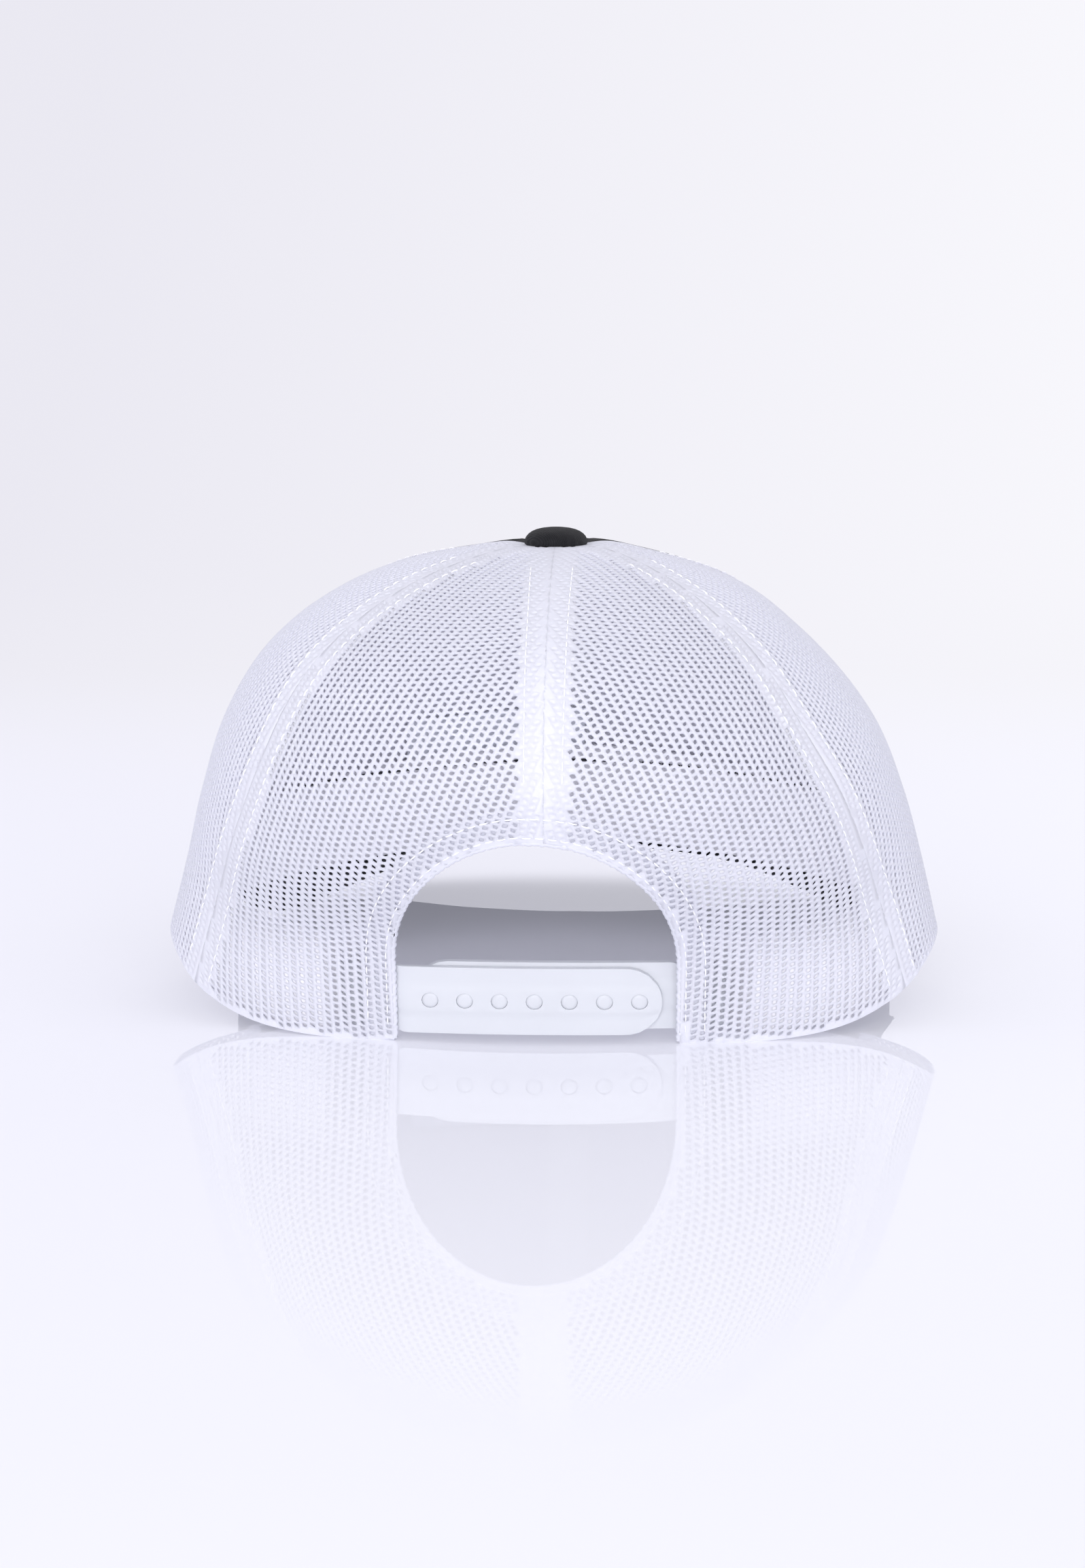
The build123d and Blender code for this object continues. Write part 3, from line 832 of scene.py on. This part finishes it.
def make_hem():
    """Mesh folded back round the opening: a bumpy rolled edge and a flat turning inside."""
    section = np.array([      # distance from the opening's edge, depth under the cloth
        [1.3, 0.66], [2.5, 0.72], [4.2, 0.72], [6.0, 0.75], [7.8, 0.78], [8.0, 1.0], [7.8, 1.25],
        [6.0, 1.28], [4.2, 1.28], [2.5, 1.30], [1.2, 1.32], [0.45, 1.25], [0.10, 0.95], [0.0, 0.60],
        [0.06, 0.25], [0.30, 0.0], [0.70, -0.08], [1.15, 0.10],
    ])
    runs = np.linspace(-0.995, 0.995, 520)
    length = runs * HALF_ARCH
    loops = []
    for away, depth in section:
        bump = 0.26 * np.abs(np.sin(np.pi * length / HOLE_PITCH)) + 0.08 * np.sin(length * 2.3)
        bump = bump * (away < 1.0)
        point = skin(*back_place(*arch_line(away, runs)), depth + bump * 0.5)
        toward = unit((np.array([OPENING_X, 0, ARCH_SPRING]) - point) * [1, 0, 1])
        loops.append(point + toward * bump[:, None])
    loops = np.stack(loops, 1)
    loops[..., 2] = np.maximum(loops[..., 2], 0.0)
    flat = np.stack(np.broadcast_arrays(section[:, 0], length[:, None]), -1).reshape(-1, 2)
    piece = make_piece("opening_hem_cloth", swept(loops), MESH, ["opening_hem"], cloth=flat)
    rows = [crown_stitches(*back_place(*arch_line(away, np.linspace(-0.97, 0.97, 300))), WHITE_STITCH)
            for away in (2.0, 6.6)]
    make_piece("opening_stitching", merged(rows), WHITE_THREAD)


def band_span():
    """Angles where the sweatband starts and ends, beside the opening."""
    z = float(ring_point(25.0, 0.9)[2])
    beside = OPENING_HALF + 2
    return float(back_place(OPENING_X + beside, z)[0]), 360 + float(back_place(OPENING_X - beside, z)[0])


def band_place(angle, share, depth):
    """Point of the sweatband, by angle and share of its height; it hugs the mesh at the back."""
    front = np.sin(np.radians(angle) / 2) ** 2
    top = BAND_TOP[0] + (BAND_TOP[1] - BAND_TOP[0]) * front
    level = top + (BAND_LOW - top) * share
    middle_gap = np.abs(skin_plain(angle, level, 0.0)[..., 0] - OPENING_X)
    past_tab = np.where((angle > 90) & (angle < 270), 1.0, soft_step((middle_gap - TAB_END) / 6))
    close = past_tab * soft_step((1.5 - 2 * front) / 0.6)
    hug = close * (2.66 + sway(crown(angle, level)))
    wave = 0.2 * np.sin(np.radians(angle) * 9) * np.sin(np.radians(angle) * 4 + 1) * (1 - close)
    return skin_plain(angle, level, depth + wave - hug)


def make_sweatband():
    """Folded cotton band inside the rim, soft at its edges, stitched near its top, with a row of black
    thread along its front top as painted shade.
    """
    start, end = band_span()
    depth, thick = BAND
    share = np.linspace(0, 1, 15)
    pillow = 0.35 * np.sin(np.pi * share) ** 0.5
    groove = 0.35 * np.exp(-((share - 0.10) / 0.03) ** 2)
    outer = np.stack([share, depth + 0.35 - pillow + groove], -1)
    inner = np.stack([share, depth + thick + pillow * 0.6 - groove], -1)
    section = np.concatenate([outer, inner[::-1]])
    angles = np.linspace(start, end, 361)
    loops = np.stack([band_place(angles, share, depth) for share, depth in section], 1)
    flat = np.stack(np.broadcast_arrays(run_length(loops[:, 0])[:, None], section[:, 0] * 27), -1)
    loops[..., 2] = np.maximum(loops[..., 2], 0.3)
    piece = make_piece("sweatband_cloth", swept(loops), BAND_CLOTH, ["sweatband"],
                       cloth=flat.reshape(-1, 2))
    declare_cloth(loops[:, :len(outer)])
    line = np.linspace(start + 1, end - 1, 700)
    rows = [stitch_row(band_place(line, 0.1, depth + lift), sign * crown_normal(line, BAND_TOP[0]),
                       3.0, 2.3, 0.2)
            for lift, sign in ((0.35, 1), (thick - 0.15, -1))]
    make_piece("sweatband_stitching", merged(rows), WHITE_THREAD)
    # Painted shade: a row of black thread along the top of the front sweatband stands in for the dark
    # shadow line there.
    front = np.linspace(122, 238, 500)
    path = band_place(front, 0.165 - 0.2 * ((front - 180) / 58) ** 2, depth + thick + 0.5)
    seam = stitch_row(path, -crown_normal(front, BAND_TOP[0]), 3.0, 2.8, 0.4)
    make_piece("sweatband_top_seam", seam, BLACK_THREAD)


def make_label():
    """Blank label that hangs inside the front, a little wavy at its top."""
    level = np.linspace(*LABEL_LEVELS, 15)[:, None]
    angle = np.linspace(*LABEL_ANGLES, 41)[None, :]
    ripple = 0.15 * np.sin(angle / 4.0) * (LABEL_LEVELS[1] - level) / 0.08
    grid = skin_plain(angle, level, LABEL[0] + ripple)
    sheet_piece("inside_label_cloth", "inside_label", grid, LABEL[1], LABEL_CLOTH)


# ---- Visor ----
def visor_root(u):
    """Place on the rim where the visor starts: u runs from -1 to 1 round the front."""
    return crown(180 - VISOR_ANGLE * u, 1.0)


def visor_sheet(u, v):
    """Underside of the visor: u from side to side, v from the seam to the outer edge."""
    root = visor_root(u)
    slide = visor_root(u + 0.01) - visor_root(u - 0.01)
    root_xy = root[..., :2] + unit(slide[..., :2] @ [[0, -1], [1, 0]]) * 0.5
    edge = smooth(VISOR_OUTLINE, np.minimum(np.abs(u), 1.0))
    edge_xy = np.stack([np.copysign(edge[..., 0], u), edge[..., 1]], -1)
    edge_xy = edge_xy + (root - visor_root(np.clip(u, -1, 1)))[..., :2]
    xy = root_xy + (edge_xy - root_xy) * v[..., None]

    def height(p):
        x, y = p[..., 0], p[..., 1]
        curl = VISOR_CURL[0] - VISOR_CURL[1] * y
        return VISOR_CENTRE_Z + VISOR_SLOPE * (y + 56) - VISOR_DROOP * x ** 2 - curl * x ** 4
    z = height(xy) + (root[..., 2] - 1.0 - height(root_xy)) * (1 - v) ** 2
    return np.stack([xy[..., 0], xy[..., 1], z], -1)


def visor_up(u, v):
    """Unit vector out of the visor's top."""
    step = 1e-3
    across = visor_sheet(u + step, v) - visor_sheet(u - step, v)
    out = visor_sheet(u, v + step) - visor_sheet(u, v - step)
    return unit(np.cross(out, across))


def visor_point(u, v, lift, beyond=0.0):
    """Point a height above the visor's underside, and a distance further out."""
    u, v, lift, beyond = np.broadcast_arrays(*(np.asarray(a, float) for a in (u, v, lift, beyond)))
    out = unit(visor_sheet(u, v) - visor_sheet(u, v - 0.02))
    return visor_sheet(u, v) + visor_up(u, v) * lift[..., None] + out * beyond[..., None]


def visor_reach(u):
    """Length of the visor from seam to edge at u."""
    return norm(visor_sheet(u, np.ones_like(u)) - visor_sheet(u, np.zeros_like(u)), axis=-1)


def make_visor():
    """Twill covers that meet round the board's edge, with rows of stitching through all."""
    ends = VISOR_END * np.sin(np.radians((20, 40, 60, 75, 90)))
    u = np.concatenate([-1 - ends[::-1], np.linspace(-1, 1, 241), 1 + ends])
    pinch = np.sqrt(1 - np.clip((np.abs(u) - 1) / VISOR_END, 0, 1) ** 2)
    reach = visor_reach(u)
    middle = VISOR_THICK / 2
    for side, face in (("top", 1), ("under", -1)):
        rows = []
        for v in np.linspace(-0.013, 1, 152):
            dip = sum(0.22 * np.exp(-(((1 - v) * reach - d) / 0.9) ** 2) for d in STITCH_ROWS)
            rows.append(visor_point(u, v, middle + face * (middle - dip) * pinch))
        for turn in np.radians((15, 32, 50, 68, 84)):
            lift = middle + face * middle * math.cos(turn) * 0.98 * pinch
            rows.append(visor_point(u, 1, lift, 1.5 * math.sin(turn)))
        rows.append(visor_point(u, 1, middle + face * 0.05, 1.05))
        grid = np.stack(rows)[:, ::-face]
        grid[..., 2] = np.maximum(grid[..., 2], 0.02)
        sheet_piece(f"visor_{side}_twill", f"visor_{side}_cover", grid, 0.5, TWILL,
                    flat=grid[..., :2])
    across = np.linspace(-1, 1, 500)
    reach = visor_reach(across)
    rows = []
    for d in STITCH_ROWS:
        inside = reach > d + 1.5
        u, v = across[inside], 1 - d / reach[inside]
        for lift, sign in ((VISOR_THICK - 0.2, 1), (0.2, -1)):
            rows.append(stitch_row(visor_point(u, v, lift), sign * visor_up(u, v), *BLACK_STITCH))
    make_piece("visor_stitching", merged(rows), BLACK_THREAD)


# ---- Button ----
def make_button():
    """Cloth pulled over the button's dome, gathered under its edge."""
    profile = [(0.0, 1.0), (0.25, 0.985), (0.45, 0.94), (0.62, 0.865), (0.76, 0.76), (0.87, 0.62),
               (0.945, 0.46), (0.985, 0.29), (1.0, 0.14), (0.985, 0.02), (0.93, -0.04), (0.85, -0.05)]
    turns = np.radians(np.arange(0, 360, 5))
    rows = []
    for share, height in profile:
        gather = 0.10 * max(0.0, share - 0.9) / 0.1 * np.sin(turns * 14 + 3 * np.sin(turns * 3))
        r = BUTTON_R * max(share, 0.02) + gather
        rows.append(np.stack([r * np.cos(turns), BUTTON_Y + r * np.sin(turns),
                              BUTTON_BASE + BUTTON_HEIGHT * height + 0 * turns], -1))
    grid = np.stack(rows)
    count, around = grid.shape[:2]
    axis, narrower = np.array([0, BUTTON_Y, 0]), 1 - 0.4 / BUTTON_R
    inner = axis + (grid - axis) * [narrower, narrower, 1] - [0, 0, 0.4]
    sides = grid_quads(count, around, closed=True)
    total = count * around
    cap = np.arange(around)[None, :]
    lip = np.stack([np.arange(around), np.roll(np.arange(around), -1)], -1) + (count - 1) * around
    walls = np.stack([lip[:, 1], lip[:, 0], lip[:, 0] + total, lip[:, 1] + total], -1)
    points = np.concatenate([grid.reshape(-1, 3), inner.reshape(-1, 3)])
    faces = [sides[:, ::-1], cap, sides + total, cap[:, ::-1] + total, walls[:, ::-1]]
    piece = make_piece("button_cloth", (points, faces), TWILL, ["button_cover"],
                       cloth=points - axis)
    side = 2 * run_length(grid[:, 0])[-1] * MM
    for node in ("button_shell", "button_back"):
        paint_node(node, METAL)


def paint_node(node, finish):
    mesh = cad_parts[node].data
    mesh.materials.clear()
    mesh.materials.append(finish)


# ---- Snap closure ----
def strap_place(x, w, back):
    """Point of a strap: x from the opening's middle, w up its width, back behind its outer face."""
    on_bend = np.clip(x, -HINGE_X - 3, HINGE_X + 3)
    bend = np.sqrt(STRAP_BEND_R ** 2 - on_bend ** 2) - STRAP_BEND_R
    lean, upright = math.sin(STRAP_LEAN), math.cos(STRAP_LEAN)
    y = STRAP_Y + bend - back * upright + w * lean
    z = STRAP_Z + back * lean + w * upright - STRAP_END_DROP * (on_bend / HINGE_X) ** 2
    return np.stack([OPENING_X + x, y, z], -1)


def strap_point(x, w, back, layer_back):
    """A strap with its sewn end: past the hinge it passes under the hem, along the crown."""
    free = strap_place(x, w + INNER_RAISE * (layer_back > 0), back)
    angle, level = back_place(OPENING_X + x, 10.6 + w * 0.9)
    tab = skin_plain(angle, level, TAB_DEPTH + back - layer_back)
    blend = soft_step((np.abs(x) - HINGE_X) / 4.0)[..., None]
    return free * (1 - blend) + tab * blend


def snap_cell(x, hole):
    """Flat faces round one snap, from the edges of its cell in to its circle."""
    k = np.arange(16)
    wave = np.clip((4 - np.abs((k + 8) % 16 - 8)) / 2, -1, 1)
    square = np.stack([wave, np.roll(wave, 4)], -1)
    edge, circle = square * [SNAP_PITCH / 2, SNAP_STRIP], unit(square) * HOLE_R
    points = np.concatenate([edge, circle + (edge - circle) * 0.3, circle]) + [x, 0]
    disc = [] if hole else [32 + k[None, :]]
    return points, [grid_quads(3, 16, closed=True)] + disc


def strap_face(tip, side, holes):
    """Flat outline of a strap in quads: snap cells, the bands beside them, its tail and its tip."""
    radius = STRAP_WIDTH / 2
    low, high = SNAPS[-1] - SNAP_PITCH / 2, SNAPS[0] + SNAP_PITCH / 2
    steps = np.linspace(low, high, 4 * SNAP_COUNT + 1)
    tail = np.linspace(high, TAB_END, 15) if side < 0 else np.linspace(-TAB_END, low, 15)

    def band(x):
        """Places from the snap strip out to the strap's edge, nearer the middle in the round tip."""
        into = np.maximum(0, side * (x - (tip - side * radius)))
        half = np.sqrt(np.maximum(radius ** 2 - into ** 2, 0))[..., None]
        return SNAP_STRIP + (half - SNAP_STRIP) * np.array([0, 0.06, 0.35, 0.68, 0.93, 1.0])
    grids = [np.stack(np.broadcast_arrays(x[:, None], sign * band(x)), -1)
             for x in (steps, tail) for sign in (1, -1)]
    strip = np.linspace(-SNAP_STRIP, SNAP_STRIP, 5)
    grids.append(np.stack(np.broadcast_arrays(tail[:, None], strip), -1))
    end_x = low if side < 0 else high
    wing = band(np.array(end_x))
    column = np.concatenate([-wing[::-1], strip[1:-1], wing])
    arc = np.linspace(-1, 1, len(column)) * math.asin(wing[-1] / radius)
    outer = np.stack([tip - side * radius * (1 - np.cos(arc)), radius * np.sin(arc)], -1)
    inner = np.stack([np.full(len(column), end_x), column], -1)
    grids.append(np.stack([inner, (inner + outer) / 2, outer]))
    parts = [snap_cell(x, holes) for x in SNAPS]
    parts += [(grid.reshape(-1, 2), [grid_quads(*grid.shape[:2])]) for grid in grids]
    return merged([(np.column_stack([points, np.zeros(len(points))]), faces) for points, faces in parts])


def solid_strap(tip, side, holes, layer_back):
    """Strap with rounded edges, bent into place; the strip that carries the snaps is raised."""
    points, faces = strap_face(tip, side, holes)
    mesh = bpy.data.meshes.new("strap")
    mesh.from_pydata(points.tolist(), [], [face.tolist() for group in faces for face in group])
    shape = bmesh.new()
    shape.from_mesh(mesh)
    bmesh.ops.remove_doubles(shape, verts=shape.verts, dist=1e-3)
    made = bmesh.ops.extrude_face_region(shape, geom=list(shape.faces))
    for part in made["geom"]:
        if isinstance(part, bmesh.types.BMVert):
            part.co.z = STRAP_THICK
    bmesh.ops.recalc_face_normals(shape, faces=shape.faces)
    rim = [e for e in shape.edges if len(e.link_faces) == 2 and e.calc_face_angle() > math.radians(60)]
    bmesh.ops.bevel(shape, geom=rim, offset=0.28, segments=3, profile=0.5, affect="EDGES",
                    clamp_overlap=True)
    shape.to_mesh(mesh)
    shape.free()
    x, w, height = np.array([vertex.co for vertex in mesh.vertices]).T
    back = STRAP_THICK - height
    raised = (np.abs(w) < SNAP_STRIP + 0.05) & (back < 0.5)
    placed = strap_point(x, w, back - 0.12 * raised + layer_back, layer_back)
    groups = {}
    for face in mesh.polygons:
        groups.setdefault(len(face.vertices), []).append(list(face.vertices))
    bpy.data.meshes.remove(mesh)
    return placed, [np.array(group) for group in groups.values()]


def peg(x):
    """Domed snap peg standing on the inner strap, through a hole of the outer one."""
    base = STRAP_THICK + STRAP_GAP + 0.3
    profile = [(HOLE_R - 0.04, base), (HOLE_R - 0.04, 0.40), (HOLE_R - 0.12, 0.27), (PEG_R + 0.05, 0.20),
               (PEG_R - 0.08, 0.12), (PEG_R - 0.2, 0.02), (PEG_R - 0.5, -0.1), (PEG_R - 0.9, -0.16),
               (PEG_R - 1.4, -0.18)]
    turns = np.radians(np.arange(0, 360, 15))
    return swept(np.stack([strap_place(x + r * np.cos(turns), r * np.sin(turns), back)
                           for r, back in profile[::-1]]))


def make_straps():
    outer = solid_strap(OUTER_TIP, -1, True, 0.0)
    inner = merged([solid_strap(INNER_TIP, 1, False, STRAP_THICK + STRAP_GAP)] + [peg(x) for x in SNAPS])
    for name, shape, side in (("outer", outer, 1), ("inner", inner, -1)):
        piece = make_piece(f"{name}_snap_strap", shape, SNAP_PLASTIC,
                           (f"snap_strap_{name}", f"{name}_strap_sewn_end"), body=None, sharp=40)
        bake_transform(piece)


# ---- Stage ----
def make_floor():
    """Glossy white table that fades, further back, into a backdrop that glows, brighter towards the
    camera's right; the table glows faintly too. Both glows are painted light.
    """
    finish = Finish("pale_floor", (0.69, 0.69, 0.71), 0.0, Specular_IOR_Level=0.38)
    x, y, _ = finish.split(finish.place())
    # Painted light: the backdrop glows, darker on the camera's left and brighter on its right, as if lit
    # from that side.
    side = finish.ramp(finish.math("MULTIPLY_ADD", x, -0.9, 0.5), 0.1, 0.9,
                       (0.80, 0.79, 0.86), (0.915, 0.91, 0.95))
    # Painted light: the table glows faintly, which lifts the shade under the cap and round its rim.
    finish.shader.inputs["Emission Color"].default_value = (0.82, 0.83, 1.0, 1)
    finish.shader.inputs["Emission Strength"].default_value = 0.235
    gloss = finish.node("MapRange", {"Value": y, "From Min": 0.13, "From Max": 0.36,
                                     "To Min": 0.38, "To Max": 0.04}).outputs[0]
    finish.link(gloss, finish.shader.inputs["Specular IOR Level"])
    glow = finish.node("Emission", {"Color": side, "Strength": 1.035})
    back = finish.node("MapRange", {"Value": y, "From Min": -0.16, "From Max": -0.75},
                       interpolation_type="SMOOTHSTEP").outputs[0]
    finish.mix_over(glow, back)
    turn = np.linspace(0, math.pi / 2, 24)
    ys = np.concatenate([[3.0], -1.2 - 0.6 * np.sin(turn), [-1.8]])
    zs = np.concatenate([[0.0], 0.6 - 0.6 * np.cos(turn), [4.0]])
    points = [(x, float(y), float(z)) for y, z in zip(ys, zs) for x in (-4.0, 4.0)]
    mesh = bpy.data.meshes.new("floor")
    mesh.from_pydata(points, [], grid_quads(len(ys), 2).tolist())
    mesh.shade_smooth()
    mesh.materials.append(finish.material)
    floor = add_object("floor", mesh)


def facing(direction):
    """Turn of a lamp or camera that looks in a direction."""
    return direction.to_track_quat("-Z", "Y").to_euler()


def area_light(name, place, target, size, watts, color):
    data = bpy.data.lights.new(name, "AREA")
    data.shape = "DISK"
    data.size = size
    data.energy = watts
    data.color = color
    light = add_object(name, data)
    light.location = place
    light.rotation_euler = facing(Vector(target) - Vector(place))


def make_light():
    world = bpy.data.worlds.new("studio")
    bpy.context.scene.world = world
    world.use_nodes = True
    background = world.node_tree.nodes["Background"]
    background.inputs["Color"].default_value = (0.875, 0.87, 0.93, 1)
    background.inputs["Strength"].default_value = 0.81
    area_light("key", (-0.9, 0.9, 1.5), (0, 0, 0.05), 1.2, 2.5, (1.0, 0.99, 0.98))
    area_light("fill", (1.2, 0.5, 1.0), (0, 0, 0.05), 1.4, 2.0, (0.95, 0.96, 1.0))
    area_light("front", (0.0, 1.6, 0.10), (0, 0, 0.03), 1.6, 27.5, (0.985, 0.985, 1.0))
    bpy.context.scene.view_settings.view_transform = "Standard"


def make_camera():
    data = bpy.data.cameras.new("camera")
    data.lens = CAMERA_LENS
    data.sensor_width = 36.0
    camera = add_object("camera", data)
    camera.location = CAMERA_AT
    level = math.cos(CAMERA_PITCH)
    camera.rotation_euler = facing(Vector((math.sin(CAMERA_YAW) * level, -math.cos(CAMERA_YAW) * level,
                                           -math.sin(CAMERA_PITCH))))
    bpy.context.scene.camera = camera


make_camera()
make_light()
make_floor()
make_mesh_panels()
make_front()
make_tapes()
make_seam_stitches()
make_hem()
make_sweatband()
make_label()
make_visor()
make_button()
make_straps()
paint_node("visor_board", BOARD_PLASTIC)
